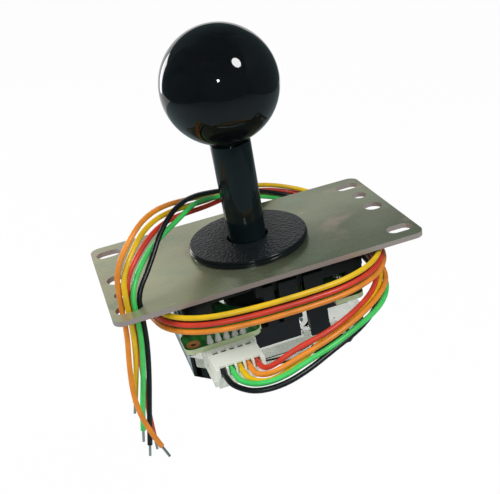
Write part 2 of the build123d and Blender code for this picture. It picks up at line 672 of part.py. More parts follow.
def restrictor_gate():
    tray = gate_block(0, gate_foot_z) - gate_block(GATE_WALL, gate_floor_z)
    tray -= rod(GATE_GUIDE - 2 * GUIDE_STEP + 2 * GUIDE_CLEARANCE, gate_foot_z, guide_lip_z)
    tray -= rod(GATE_GUIDE + 2 * GUIDE_CLEARANCE, guide_lip_z, gate_floor_z)
    for turn in range(4):
        tray -= pillar_notch(turn)
        tray += gate_hooks(turn)
    return tray


def gate_guide():
    """The stepped disc in the gate, whose square hole stops the actuator."""
    disc = rod(GATE_GUIDE - 2 * GUIDE_STEP, gate_foot_z, guide_lip_z)
    disc += rod(GATE_GUIDE, guide_lip_z, gate_floor_z)
    arm = -actuator_foot_z - PIVOT_DEPTH
    side = ACTUATOR_FOOT + 2 * (arm * swing + TILT_CLEARANCE)
    return disc - slab(side, side, GUIDE_CORNER, gate_foot_z, gate_floor_z)


def beside(station, place):
    """A point outward of the bundle's middle, to the right of its heading, at its own height."""
    x, y, heading = station
    outward, height = place
    return (x + outward * sin(radians(heading)), y - outward * cos(radians(heading)), height)


def wire_points(name):
    """The corners of one wire's route from the plug to its bare end."""
    lane = WIRES.index(name)
    outward, rise = STACK[lane]
    points = list(STARTS[name])
    points += [beside(station, lanes[lane]) for *station, lanes in FRONT_RUN]
    points += [beside(station, (outward, height + rise)) for *station, height in LOOPS]
    points += [beside(station, lanes[lane]) for *station, lanes in ARCH]
    return [Vector(*point) for point in points + ENDS[name]]


def bend_radius(before, corner, after):
    """The largest bend that leaves each run a little straight length."""
    come, leave = corner - before, after - corner
    turn = acos(come.dot(leave) / (come.length * leave.length))
    return BEND_SHARE * min(come.length, leave.length) / tan(turn / 2)


def wire(name):
    """A round tube of straight runs and tangent bends."""
    points = wire_points(name)
    radii = [bend_radius(*points[i - 1:i + 2]) for i in range(1, len(points) - 1)]
    path = FilletPolyline(*points, radius=radii)
    tube = sweep(Plane(origin=path @ 0, z_dir=path % 0) * Circle(WIRE / 2), path=path)
    full = pi * (WIRE / 2) ** 2 * path.length
    print(f"{name} wire: length {path.length:.1f}, bends {min(radii):.1f} to {max(radii):.1f},"
          f" volume {tube.volume / full:.4f} of section times length")
    return tube


def wire_tip(name):
    """The bare tinned end of one wire."""
    before, end = wire_points(name)[-2:]
    upright = (Align.CENTER, Align.CENTER, Align.MIN)
    return Plane(origin=end, z_dir=end - before) * Cylinder(TIP / 2, TIP_LENGTH, align=upright)


def save(name, shape):
    """Writes one piece, or a group of like pieces, as a STEP file."""
    solids = [solid for piece in (shape if isinstance(shape, list) else [shape]) for solid in piece.solids()]
    whole = solids[0] if len(solids) == 1 else Compound(children=solids)
    whole.label = name
    export_step(whole, f"parts/{name}.step")


def main():
    save("mounting_plate", mounting_plate())
    save("plate_screws", [place * plate_screw() for place in screw_places()])
    save("slip_disc", slip_disc())
    save("dust_washer", dust_washer())
    save("ball_top", ball_top())
    save("ball_insert", ball_insert())
    save("shaft", shaft())
    save("shaft_cover", shaft_cover())
    save("pivot_ball", pivot_ball())
    save("spring_seat", spring_seat())
    save("return_spring", return_spring())
    save("actuator", actuator())
    save("e_ring", e_ring())
    save("housing", housing())
    save("circuit_board", circuit_board())
    for turn, side in enumerate(SIDES):
        save(f"switch_{side}", switch_case(turn))
        save(f"plunger_{side}", plunger(turn))
    save("switch_pins", switch_pins())
    save("solder_joints", solder_joints())
    save("pin_header", pin_header())
    save("header_pins", [header_pin(place) for place in header_pin_places()])
    save("connector_plug", connector_plug())
    save("crimp_contacts", crimp_contacts())
    save("restrictor_gate", restrictor_gate())
    save("gate_guide", gate_guide())
    for name in WIRES:
        save(f"wire_{name}", wire(name))
    save("wire_tips", [wire_tip(name) for name in WIRES])


main()
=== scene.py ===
"""Dresses an arcade joystick lever: a finish for each piece, turned surfaces, loose wires and a studio."""
from math import radians

import bmesh
import bpy
import numpy as np
from bpy.props import FloatProperty, FloatVectorProperty, PointerProperty
from mathutils import Matrix, Vector


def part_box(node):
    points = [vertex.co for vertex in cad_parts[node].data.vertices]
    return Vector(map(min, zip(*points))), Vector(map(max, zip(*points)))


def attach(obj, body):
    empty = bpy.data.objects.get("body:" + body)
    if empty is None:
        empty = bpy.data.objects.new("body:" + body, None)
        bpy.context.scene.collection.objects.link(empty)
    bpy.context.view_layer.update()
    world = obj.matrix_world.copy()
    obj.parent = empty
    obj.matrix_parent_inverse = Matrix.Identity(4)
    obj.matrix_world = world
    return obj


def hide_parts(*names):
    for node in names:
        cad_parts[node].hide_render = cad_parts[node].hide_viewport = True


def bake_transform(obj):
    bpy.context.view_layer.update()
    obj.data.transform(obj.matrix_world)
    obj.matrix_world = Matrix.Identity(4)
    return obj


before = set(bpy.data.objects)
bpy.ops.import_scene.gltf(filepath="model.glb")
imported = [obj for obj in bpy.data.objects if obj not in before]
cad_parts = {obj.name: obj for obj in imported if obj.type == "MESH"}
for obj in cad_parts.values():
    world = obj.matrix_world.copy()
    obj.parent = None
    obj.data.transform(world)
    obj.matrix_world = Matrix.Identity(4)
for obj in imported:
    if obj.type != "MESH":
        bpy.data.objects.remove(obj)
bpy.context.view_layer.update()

bl_info = {
    "name": "Joystick lever dressing",
    "version": (1, 0, 0),
    "blender": (4, 5, 0),
    "location": "3D View > Sidebar > Lever",
    "description": "Finishes, turned pieces, wire harness and studio for an arcade joystick lever",
    "category": "Object",
}

MM = 0.001
SIDES = ("front", "right", "back", "left")
WHITE = (1.0, 1.0, 1.0)

# The photograph's camera, in metres: where it stands, which way it looks and which way is right
CAMERA_PLACE = (-0.0515, -0.2286, 0.1109)
CAMERA_FORWARD = (0.1983, 0.8788, -0.434)
CAMERA_RIGHT = (0.9411, -0.2945, -0.1662)
LAMP_AIM = (0, 0, 0.02)

# Middle of the hole in the circuit board's tab, in metres
TAB_HOLE = (-0.0272, -0.0244)

# How finely new pieces are divided, how near points merge and what counts as a hard edge
ROUND_STEPS = 192
RIM_STEPS = 256
HOLE_STEPS = 48
CORNER_STEPS = 9
COIL_STEPS = 48
COIL_SIDES = 16
MERGE_GAP = 1e-7
HARD_EDGE = radians(40)

# Wire routes in millimetres: each wire's way out of the plug
STARTS = {
    "black": [
        (-22.5, -37.7, -17.8), (-22.5, -42.6, -17.8), (-21.2, -46.4, -18.2), (-16.9, -50.2, -19.0),
        (-9.4, -51.5, -18.7), (-1.0, -49.5, -17.8),
    ],
    "green": [
        (-20.0, -37.7, -17.8), (-20.0, -42.3, -17.8), (-18.9, -45.7, -18.0), (-14.9, -48.8, -18.2),
        (-8.4, -49.8, -17.4), (-1.0, -48.3, -16.0),
    ],
    "yellow": [
        (-17.5, -37.7, -17.8), (-17.5, -42.1, -17.8), (-16.6, -45.3, -18.2), (-12.9, -47.7, -18.8),
        (-7.4, -47.6, -18.1), (-1.0, -46.0, -16.2),
    ],
    "orange": [
        (-15.0, -37.7, -17.8), (-15.0, -42.0, -17.8), (-14.1, -45.2, -17.6), (-10.9, -47.1, -17.0),
        (-6.0, -47.4, -15.6), (-1.0, -46.9, -14.4),
    ],
    "red": [
        (-12.5, -37.7, -17.8), (-12.5, -40.8, -17.8), (-11.5, -44.0, -17.1), (-9.0, -45.6, -15.4),
        (-5.3, -45.9, -13.6), (-1.0, -45.7, -12.4),
    ],
}
WIRES = tuple(STARTS)

# Along the front: x, y and heading of the bundle, then each wire's place outward of it and its height
FRONT_RUN = [
    (7.0, -46.0, 12, ((0.5, -16.4), (0.9, -14.7), (-1.8, -13.0), (0.0, -12.9), (-0.9, -11.3))),
    (17.0, -42.4, 30, ((0.5, -14.9), (1.0, -13.2), (-1.8, -11.5), (0.0, -11.5), (-1.1, -10.0))),
    (26.8, -35.4, 43, ((-0.7, -14.5), (1.0, -13.5), (-1.8, -11.6), (0.0, -11.3), (-1.6, -9.7))),
    (34.0, -24.5, 65, ((-1.1, -13.6), (0.7, -14.0), (-0.7, -11.4), (0.9, -12.2), (-1.9, -10.0))),
    (37.0, -9.0, 84, ((-1.4, -14.6), (0.5, -15.2), (0.1, -11.4), (0.9, -13.2), (-1.7, -10.9))),
    (37.2, 8.0, 96, ((-1.8, -14.2), (-0.5, -16.2), (1.2, -11.0), (0.9, -14.6), (-0.2, -12.7))),
]

# Each wire's place in the stack that goes round the body: outward of its middle and up from it
STACK = ((-1.3, -0.5), (-0.8, -2.5), (0.3, 2.1), (1.2, -1.9), (0.8, 0.1))

# Twice round the body: x, y, heading and height of the stack's middle
LOOPS = [
    (34.0, 23.5, 120, -13.0), (22.8, 34.4, 155, -12.6), (6.0, 37.6, 178, -12.0), (-11.0, 37.2, 189, -11.2),
    (-26.5, 32.6, 217, -10.2), (-36.0, 20.0, 250, -9.2), (-37.6, 4.5, 271, -8.0), (-35.2, -10.5, 282, -6.8),
    (-33.0, -24.0, 295, -5.8), (-24.0, -32.8, 337, -4.9), (-10.5, -35.8, 352, -4.6), (4.0, -36.0, 5, -4.8),
    (17.5, -34.8, 11, -5.1), (29.0, -29.6, 40, -5.2), (36.2, -18.8, 65, -5.4), (37.6, -4.5, 86, -5.6),
    (37.2, 10.0, 95, -5.8), (35.2, 23.5, 108, -5.8), (30.2, 33.4, 142, -4.4), (20.5, 35.0, 186, -0.4),
]

# Over the plate and behind the shaft, fanning out towards the slot, in the columns of FRONT_RUN
ARCH = [
    (11.5, 30.4, 208, ((-1.4, 3.9), (-0.8, 1.8), (0.3, 5.6), (2.5, 2.4), (0.6, 3.5))),
    (2.8, 24.8, 214, ((-1.5, 8.8), (-1.2, 6.8), (0.3, 8.0), (2.5, 7.4), (0.8, 6.1))),
    (-6.0, 18.0, 221, ((-1.5, 12.6), (-1.5, 10.6), (0.5, 9.6), (2.0, 10.9), (0.8, 7.6))),
    (-14.0, 9.8, 227, ((-1.4, 16.2), (-1.6, 14.0), (0.7, 12.8), (1.5, 14.8), (0.6, 10.7))),
    (-21.0, 1.8, 229, ((-1.6, 17.6), (-1.7, 13.5), (0.9, 15.9), (0.9, 18.3), (0.7, 13.7))),
    (-28.0, -6.2, 229, ((-1.6, 15.0), (-0.2, 12.2), (0.7, 17.7), (0.3, 20.6), (0.5, 14.9))),
    (-34.5, -13.4, 229, ((-1.9, 8.3), (0.4, 9.7), (0.1, 16.8), (-0.2, 20.2), (0.1, 13.2))),
]

# Down through the slot to the bare ends
ENDS = {
    "black": [
        (-38.8, -19.7, 3.2), (-39.0, -19.9, -4.6), (-39.6, -20.0, -13.0), (-41.6, -20.3, -24.0),
        (-44.4, -20.6, -36.0), (-46.6, -20.8, -46.5),
    ],
    "green": [
        (-40.4, -20.9, 5.0), (-40.5, -21.1, -3.4), (-41.2, -21.2, -12.0), (-43.2, -21.8, -22.0),
        (-45.9, -22.2, -32.0), (-47.4, -22.4, -39.5),
    ],
    "yellow": [
        (-41.6, -20.5, 10.4), (-42.4, -20.9, 2.0), (-42.6, -20.9, -7.0), (-43.8, -20.6, -16.0),
        (-45.6, -20.0, -24.0), (-47.4, -19.6, -31.0),
    ],
    "orange": [
        (-42.8, -19.5, 12.8), (-44.0, -19.8, 2.5), (-44.4, -19.9, -8.0), (-46.4, -21.2, -18.0),
        (-47.6, -24.0, -27.0), (-46.4, -27.0, -35.5), (-43.6, -28.8, -42.5),
    ],
    "red": [
        (-40.8, -18.7, 8.2), (-41.5, -19.0, 1.0), (-41.7, -18.8, -8.0), (-42.5, -18.2, -18.0),
        (-43.6, -17.8, -29.0), (-44.4, -17.6, -39.0), (-44.6, -17.5, -47.5),
    ],
}


class Tone:
    """A value in a node tree. Arithmetic on it adds Math nodes."""

    def __init__(self, nodes, socket):
        self.nodes = nodes
        self.socket = socket

    def math(self, operation, *values):
        return self.nodes.add("ShaderNodeMath", {"operation": operation}, dict(enumerate(values)))

    def __add__(self, other):
        return self.math("ADD", self, other)

    def __radd__(self, other):
        return self.math("ADD", other, self)

    def __sub__(self, other):
        return self.math("SUBTRACT", self, other)

    def __rsub__(self, other):
        return self.math("SUBTRACT", other, self)

    def __mul__(self, other):
        return self.math("MULTIPLY", self, other)

    def __rmul__(self, other):
        return self.math("MULTIPLY", other, self)

    def __pow__(self, other):
        return self.math("POWER", self, other)

    def __rpow__(self, other):
        return self.math("POWER", other, self)

    def __abs__(self):
        return self.math("ABSOLUTE", self)

    def most(self, other):
        """The larger of two values."""
        return self.math("MAXIMUM", self, other)

    def fold(self, width):
        """Runs up and down again, over and over, between 0 and the width."""
        return self.math("PINGPONG", self, width)

    def ramp(self, low, high):
        """0 at low, 1 at high and a smooth step between; low may be the larger."""
        sockets = {"Value": self, "From Min": low, "From Max": high}
        return self.nodes.add("ShaderNodeMapRange", {"interpolation_type": "SMOOTHSTEP"}, sockets)


class Nodes:
    """A node tree, with one method that makes any node."""

    def __init__(self, tree):
        self.tree = tree

    def add(self, kind, settings=None, sockets=None, output=0):
        """A node's type, its settings, the values or links of its sockets, and which output to take."""
        node = self.tree.nodes.new(kind)
        for key, value in (settings or {}).items():
            setattr(node, key, value)
        for key, value in (sockets or {}).items():
            self.feed(node.inputs[key], value)
        return Tone(self, node.outputs[output])

    def feed(self, socket, value):
        """Links a value to a socket, or sets a constant on it."""
        if isinstance(value, Tone):
            self.tree.links.new(value.socket, socket)
        elif socket.type == "RGBA":
            socket.default_value = (*value, 1.0)
        else:
            socket.default_value = value

    def seen(self):
        """1 for rays from the camera, off a gloss or through glass, 0 for those that light a dull face."""
        rays = ("Camera", "Glossy", "Transmission")
        camera, gloss, glass = (self.add("ShaderNodeLightPath", output=f"Is {ray} Ray") for ray in rays)
        return camera.most(gloss).most(glass)


class Finish(Nodes):
    """A material whose Principled shader is fed by expressions."""

    def __init__(self, name, **plain):
        self.material = bpy.data.materials.new(name)
        self.material.use_nodes = True
        super().__init__(self.material.node_tree)
        self.shader = self.tree.nodes["Principled BSDF"]
        self.set(**plain)

    def set(self, **values):
        """Shader sockets by name, with _ for a space."""
        for key, value in values.items():
            self.feed(self.shader.inputs[key.replace("_", " ")], value)
        return self

    def place(self):
        """Object coordinates, in metres."""
        return self.add("ShaderNodeTexCoord", output="Object")

    def axis(self, index):
        """One of the object coordinates."""
        return self.add("ShaderNodeSeparateXYZ", None, {0: self.place()}, index)

    def facing(self):
        """How far a face looks up or down, from -1 to 1, in the object's own frame."""
        normal = self.add("ShaderNodeTexCoord", output="Normal")
        return self.add("ShaderNodeSeparateXYZ", None, {0: normal}, 2)

    def cut_edge(self):
        """1 on the upright faces of a sheet, 0 on its flat ones."""
        return 1 - abs(self.facing()).ramp(0.5, 0.9)

    def stretched(self, scale):
        """Object coordinates scaled by a different amount along each axis."""
        return self.add("ShaderNodeMapping", None, {"Vector": self.place(), "Scale": scale})

    def noise(self, scale, detail=3.0, rough=0.5, vector=None):
        """Cloudy noise from 0 to 1, finer with a larger scale."""
        sockets = {"Vector": vector or self.place(), "Scale": scale, "Detail": detail, "Roughness": rough}
        return self.add("ShaderNodeTexNoise", None, sockets)

    def cells(self, scale):
        """Distance to the nearest point of an even scatter, in cells."""
        return self.add("ShaderNodeTexVoronoi", None, {"Vector": self.place(), "Scale": scale})

    def mix(self, share, first, second):
        """From the first colour to the second."""
        return self.add("ShaderNodeMix", {"data_type": "RGBA"}, {0: share, 6: first, 7: second}, 2)

    def bump(self, height, depth):
        """Raises the surface by the height times the depth, in metres."""
        return self.set(Normal=self.add("ShaderNodeBump", None, {"Height": height, "Distance": depth}))


def skin(name, grid):
    """A closed surface through a grid of points: each row joins the next and runs round to its start."""
    index = np.arange(grid.shape[0] * grid.shape[1]).reshape(grid.shape[:2])
    right = np.roll(index, -1, axis=1)
    quads = np.stack([index[:-1], right[:-1], right[1:], index[1:]], -1).reshape(-1, 4)
    mesh = bpy.data.meshes.new(name)
    mesh.from_pydata(grid.reshape(-1, 3), [], quads)
    close_up(mesh)
    piece = bpy.data.objects.new(name, mesh)
    bpy.context.collection.objects.link(piece)
    return piece


def turned(name, profile, steps=ROUND_STEPS, middle=(0.0, 0.0)):
    """A turned surface: each point of the profile (radius and height in mm) goes round an upright axis."""
    profile = np.array(profile, float) * MM
    angle = np.linspace(0, 2 * np.pi, steps, endpoint=False)
    radius = profile[:, :1]
    height = np.repeat(profile[:, 1:], steps, axis=1)
    x = middle[0] + radius * np.cos(angle)
    y = middle[1] + radius * np.sin(angle)
    return skin(name, np.stack([x, y, height], -1))


def coiled(name, radius, wire, low, pitch, first, last):
    """Part of a coil spring between two turns: a circle carried along a helix, with a point at each end."""
    turn = 2 * np.pi * np.linspace(first, last, int(COIL_STEPS * (last - first)) + 1)
    turn = np.concatenate([turn[:1], turn, turn[-1:]])[:, None]
    size = np.full_like(turn, wire / 2)
    size[[0, -1]] = 0
    climb = pitch / (2 * np.pi)
    slope = np.hypot(radius, climb)
    around = np.linspace(0, 2 * np.pi, COIL_SIDES, endpoint=False)
    out = size * np.cos(around)
    across = size * np.sin(around)
    x = (radius + out) * np.cos(turn) + across * np.sin(turn) * climb / slope
    y = (radius + out) * np.sin(turn) - across * np.cos(turn) * climb / slope
    z = low + climb * turn + across * radius / slope
    return skin(name, np.stack([x, y, z], -1) * MM)


def close_up(mesh):
    """Merges the poles and the seam, points the faces outwards and keeps hard edges hard."""
    work = bmesh.new()
    work.from_mesh(mesh)
    bmesh.ops.remove_doubles(work, verts=work.verts, dist=MERGE_GAP)
    bmesh.ops.recalc_face_normals(work, faces=work.faces)
    work.to_mesh(mesh)
    work.free()
    mesh.shade_smooth()
    mesh.set_sharp_from_angle(angle=HARD_EDGE)


def arc(centre, radius, start, stop, count):
    """Points of a circle in the profile's plane, by angle from straight out towards straight up."""
    angle = np.radians(np.linspace(start, stop, count))
    return [(centre[0] + radius * c, centre[1] + radius * s) for c, s in zip(np.cos(angle), np.sin(angle))]


def ring_profile(bore, foot, top, foot_radius, top_radius, rounding):
    """A closed ring's section: straight bore, sloping outside and both outer edges rounded."""
    return [
        (bore, foot),
        *arc((foot_radius - rounding, foot + rounding), rounding, -90, 0, CORNER_STEPS),
        *arc((top_radius - rounding, top - rounding), rounding, 0, 90, CORNER_STEPS),
        (bore, top),
        (bore, foot),
    ]


def reach(node):
    """A turned node's largest radius, foot and top, in mm."""
    low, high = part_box(node)
    return (high.x - low.x) / 2 / MM, low.z / MM, high.z / MM


def dress(node, finish):
    """Gives a CAD node its finish."""
    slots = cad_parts[node].data.materials
    slots.clear()
    slots.append(finish.material)


def settle(piece, body, finish, node):
    """A new piece takes its finish, rides its body and stands for its CAD node."""
    piece.data.materials.append(finish.material)
    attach(piece, body)
    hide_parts(node)


def shade(colour, share):
    """A lighter or darker share of a colour."""
    return tuple(min(1.0, part * share) for part in colour)


def moulded(name, colour, rough=0.45, grain=900.0, depth=0.00006, shine=0.5):
    """Moulded plastic: a fine spark-eroded grain and a slightly uneven sheen."""
    finish = Finish(name, Specular_IOR_Level=shine)
    broad = finish.noise(60.0, 2.0)
    fine = finish.noise(grain, 4.0, 0.6)
    finish.set(
        Base_Color=finish.mix(broad * 0.5 + fine * 0.3, colour, shade(colour, 1.3)),
        Roughness=rough + (broad - 0.5) * 0.14 + (fine - 0.5) * 0.08,
    )
    return finish.bump(fine, depth)


def metal(name, colour, rough=0.28, grain=(1400.0, 1400.0, 60.0), metallic=1.0):
    """Drawn or turned metal: fine streaks along one axis and small stains."""
    finish = Finish(name, Metallic=metallic)
    streak = finish.noise(1.0, 3.0, 0.6, finish.stretched(grain))
    stain = finish.noise(220.0, 3.0)
    finish.set(
        Base_Color=finish.mix(stain.ramp(0.35, 0.75), colour, shade(colour, 0.7)),
        Roughness=rough + (streak - 0.5) * 0.2 + (stain - 0.5) * 0.12,
    )
    return finish.bump(streak, 0.00001)


def zinc_plate(lit, shaded):
    """Rolled steel with passivated zinc plating: painted reflection and shade, light yellowish grey at the
    left and dark greenish grey at the right, with rose and green drifts and rosy cut edges.
    """
    rose, moss, cut = (0.42, 0.29, 0.24), (0.19, 0.28, 0.20), (0.37, 0.32, 0.29)
    # Where the painted reflection at the left gives way to painted shade at the right, along x in metres
    lit_end, shaded_end = -0.055, 0.02
    finish = Finish("zinc_plate")
    drift = finish.noise(24.0, 2.0, 0.45)
    patch = finish.noise(52.0, 3.0, 0.55, finish.stretched((1.0, 1.5, 1.0)))
    rolled = finish.noise(1.0, 4.0, 0.65, finish.stretched((70.0, 3400.0, 3400.0)))
    scuff = finish.noise(1.0, 5.0, 0.7, finish.stretched((60.0, 420.0, 60.0)))
    speck = finish.noise(2400.0, 2.0, 0.5)
    # Painted light and shade: three quarters is the plate darkening from left to right in place of the
    # bright room it reflects, a quarter is random drift
    shading = finish.axis(0).ramp(lit_end, shaded_end) * 0.75 + drift.ramp(0.35, 0.65) * 0.25
    ground = finish.mix(shading, lit, shaded)
    rosy = finish.mix(patch.ramp(0.54, 0.74) * 0.5, ground, rose)
    tinted = finish.mix(patch.ramp(0.46, 0.26) * 0.5, rosy, moss)
    streaked = finish.mix(rolled.ramp(0.45, 0.7) * 0.1, tinted, shade(shaded, 0.6))
    worn = finish.mix(scuff.ramp(0.66, 0.78) * 0.55, streaked, shade(shaded, 0.45))
    edge = finish.cut_edge()
    finish.set(
        Base_Color=finish.mix(edge, worn, cut),
        Metallic=0.6 - edge * 0.3,
        Roughness=0.25 + (rolled - 0.5) * 0.16 + (drift - 0.5) * 0.16 + scuff.ramp(0.6, 0.8) * 0.1,
    )
    return finish.bump(rolled * 0.6 + speck * 0.4, 0.000008)


def polished(name, colour, rough):
    """Polished black resin with a faint haze and hair-fine handling marks."""
    finish = Finish(name, IOR=1.42)
    haze = finish.noise(90.0, 4.0, 0.6)
    hair = finish.noise(1.0, 3.0, 0.7, finish.stretched((900.0, 700.0, 130.0)))
    finish.set(
        Base_Color=finish.mix(haze.ramp(0.45, 0.75), colour, shade(colour, 1.6)),
        Roughness=rough + haze.ramp(0.5, 0.8) * 0.04 + hair.ramp(0.6, 0.8) * 0.05,
    )
    return finish.bump(haze, 0.000003)


def washer_pebble(colour, pebble_size):
    """Moulded nylon: a pebbled top face and a smooth rim."""
    finish = Finish("washer_pebble", Specular_IOR_Level=0.28)
    top = finish.facing().ramp(0.9, 0.985)
    pebble = finish.cells(1 / pebble_size)
    fine = finish.noise(2600.0, 3.0)
    broad = finish.noise(70.0, 2.0)
    finish.set(
        Base_Color=finish.mix(broad.ramp(0.4, 0.7) * 0.5, colour, shade(colour, 1.7)),
        Roughness=0.14 + top * 0.26 + (fine - 0.5) * 0.12,
    )
    return finish.bump((pebble * 0.8 + fine * 0.3) * top, 0.0004)


def board_mask(hole):
    """Solder mask over copper runs, a bare ring round the tab's hole and the laminate's pale cut edge."""
    mask, over_run, cloudy = (0.016, 0.105, 0.018), (0.03, 0.17, 0.03), (0.03, 0.15, 0.045)
    copper, laminate = (0.66, 0.25, 0.08), (0.52, 0.60, 0.34)
    slant, half_pitch, run_flank, ring_edge = 0.12, 0.00125, (0.00055, 0.0007), (0.0021, 0.0019)
    finish = Finish("board_mask", Coat_Weight=0.25, Coat_Roughness=0.2)
    x, y = finish.axis(0), finish.axis(1)
    run = (x + y * slant).fold(half_pitch).ramp(*run_flank)
    weave = finish.noise(3000.0, 2.0)
    cloud = finish.noise(160.0, 3.0)
    from_hole = ((x - hole[0]) ** 2.0 + (y - hole[1]) ** 2.0) ** 0.5
    ring = from_hole.ramp(*ring_edge)
    edge = finish.cut_edge()
    face = finish.mix(run * 0.8, mask, over_run)
    face = finish.mix(cloud.ramp(0.4, 0.7) * 0.4, face, cloudy)
    face = finish.mix(ring, face, copper)
    finish.set(
        Base_Color=finish.mix(edge, face, laminate),
        Roughness=0.34 + edge * 0.35 + (weave - 0.5) * 0.12,
        Metallic=ring * (1 - edge) * 0.4,
    )
    return finish.bump(run * 0.6 + weave * 0.2, 0.00003)


def clear_gate(name):
    """Clear styrene, faintly grey, with slow flow lines from its moulding."""
    grey, pale = (0.55, 0.57, 0.53), (0.70, 0.72, 0.67)
    finish = Finish(name, IOR=1.4, Transmission_Weight=1.0)
    flow = finish.noise(1.0, 2.0, 0.5, finish.stretched((90.0, 160.0, 60.0)))
    return finish.set(
        Base_Color=finish.mix(flow.ramp(0.35, 0.65), grey, pale),
        Roughness=flow.ramp(0.6, 0.8) * 0.03,
    )


def wire_jacket(name, colour):
    """Soft vinyl insulation: slightly uneven colour and a dull shine."""
    finish = Finish(f"{name}_jacket")
    cloud = finish.noise(140.0, 2.0)
    fine = finish.noise(1800.0, 3.0)
    finish.set(
        Base_Color=finish.mix(cloud.ramp(0.35, 0.7), colour, shade(colour, 0.8)),
        Roughness=0.36 + (cloud - 0.5) * 0.16 + (fine - 0.5) * 0.08,
    )
    return finish.bump(fine, 0.00001)


class LeverColours(bpy.types.PropertyGroup):
    """Colours that a user would change."""

    ball: FloatVectorProperty(
        name="Ball", description="Ball top's resin", subtype="COLOR", size=3,
        default=(0.003, 0.0035, 0.004))
    tube: FloatVectorProperty(
        name="Tube", description="Shaft cover", subtype="COLOR", size=3,
        default=(0.004, 0.008, 0.0085))
    washer: FloatVectorProperty(
        name="Washer", description="Dust washer", subtype="COLOR", size=3,
        default=(0.006, 0.0085, 0.0095))
    # The plate's painted reflection and shade: its colour at the left, in place of the bright room it
    # reflects, and at the right, in shade
    plate_lit: FloatVectorProperty(
        name="Plate, warm", description="Zinc coat, warm parts", subtype="COLOR", size=3,
        default=(0.48, 0.475, 0.30))
    plate_shaded: FloatVectorProperty(
        name="Plate, cool", description="Zinc coat, cool parts", subtype="COLOR", size=3,
        default=(0.11, 0.138, 0.08))
    housing: FloatVectorProperty(
        name="Housing", description="Moulded housing", subtype="COLOR", size=3,
        default=(0.006, 0.007, 0.008))
    connector: FloatVectorProperty(
        name="Connector", description="Header and plug", subtype="COLOR", size=3,
        default=(0.66, 0.68, 0.60))
    black: FloatVectorProperty(
        name="Black wire", description="Ground wire", subtype="COLOR", size=3,
        default=(0.005, 0.006, 0.007))
    green: FloatVectorProperty(
        name="Green wire", description="First signal wire", subtype="COLOR", size=3,
        default=(0.06, 0.62, 0.12))
    yellow: FloatVectorProperty(
        name="Yellow wire", description="Second signal wire", subtype="COLOR", size=3,
        default=(0.78, 0.49, 0.004))
    orange: FloatVectorProperty(
        name="Orange wire", description="Third signal wire", subtype="COLOR", size=3,
        default=(0.82, 0.27, 0.022))
    red: FloatVectorProperty(
        name="Red wire", description="Fourth signal wire", subtype="COLOR", size=3,
        default=(0.64, 0.045, 0.020))


class LeverSizes(bpy.types.PropertyGroup):
    """Sizes that a user would change, in metres, and the camera's lens in millimetres."""

    wire: FloatProperty(
        name="Wire", description="Diameter over the insulation", unit="LENGTH", precision=4,
        default=0.0016)
    pebble: FloatProperty(
        name="Pebble", description="Size of the washer's pebbles", unit="LENGTH", precision=5,
        default=0.00085)
    lens: FloatProperty(
        name="Lens", description="Camera's focal length on a 36 mm sensor", unit="CAMERA",
        default=59.64)
    floor: FloatProperty(
        name="Floor", description="Height of the floor", unit="LENGTH", precision=3,
        default=-0.16)


def beside(station, place):
    """A point outward of the bundle's middle, to the right of its heading, at its own height."""
    x, y, heading = station
    outward, height = place
    return (x + outward * np.sin(radians(heading)), y - outward * np.cos(radians(heading)), height)


def wire_points(name):
    """The control points of one wire's route, in metres."""
    lane = WIRES.index(name)
    outward, rise = STACK[lane]
    points = list(STARTS[name])
    points += [beside(station, lanes[lane]) for *station, lanes in FRONT_RUN]
    points += [beside(station, (outward, height + rise)) for *station, height in LOOPS]
    points += [beside(station, lanes[lane]) for *station, lanes in ARCH]
    return np.array(points + ENDS[name]) * MM


def wire_curve(name, points, diameter):
    """One open spline that the route's points pull into a smooth line, with a round section."""
    curve = bpy.data.curves.new(name, "CURVE")
    curve.dimensions = "3D"
    curve.resolution_u = 5
    curve.bevel_depth = diameter / 2
    curve.bevel_resolution = 4
    curve.use_fill_caps = True
    spline = curve.splines.new("NURBS")
    spline.points.add(len(points) - 1)
    spline.points.foreach_set("co", np.column_stack([points, np.ones(len(points))]).ravel())
    spline.order_u = 3
    spline.use_endpoint_u = True
    piece = bpy.data.objects.new(name, curve)
    bpy.context.collection.objects.link(piece)
    return piece


class LEVER_OT_camera(bpy.types.Operator):
    """The camera at the photograph's angle"""

    bl_idname = "lever.camera"
    bl_label = "Camera"

    def execute(self, context):
        camera = bpy.data.cameras.new("camera")
        camera.lens = context.scene.lever_sizes.lens
        camera.sensor_width = 36.0
        camera.clip_start = 0.01
        view = bpy.data.objects.new("camera", camera)
        context.scene.collection.objects.link(view)
        forward = Vector(CAMERA_FORWARD).normalized()
        right = Vector(CAMERA_RIGHT)
        right = (right - right.dot(forward) * forward).normalized()
        up = right.cross(forward)
        turn = Matrix((right, up, -forward)).transposed()
        view.matrix_world = Matrix.Translation(CAMERA_PLACE) @ turn.to_4x4()
        context.scene.camera = view
        return {"FINISHED"}


class LEVER_OT_wires(bpy.types.Operator):
    """Five loose wires, each one smooth spline from the plug to its bare end"""

    bl_idname = "lever.wires"
    bl_label = "Wires"

    def execute(self, context):
        colours, thickness = context.scene.lever_colours, context.scene.lever_sizes.wire
        tinned = metal("tinned_ends", (0.66, 0.65, 0.62), rough=0.3, grain=(2400.0, 2400.0, 200.0))
        dress("wire_tips", tinned)
        for name in WIRES:
            points = wire_points(name)
            piece = wire_curve(f"{name}_wire", points, thickness)
            settle(piece, "base", wire_jacket(name, getattr(colours, name)), f"wire_{name}")
        return {"FINISHED"}


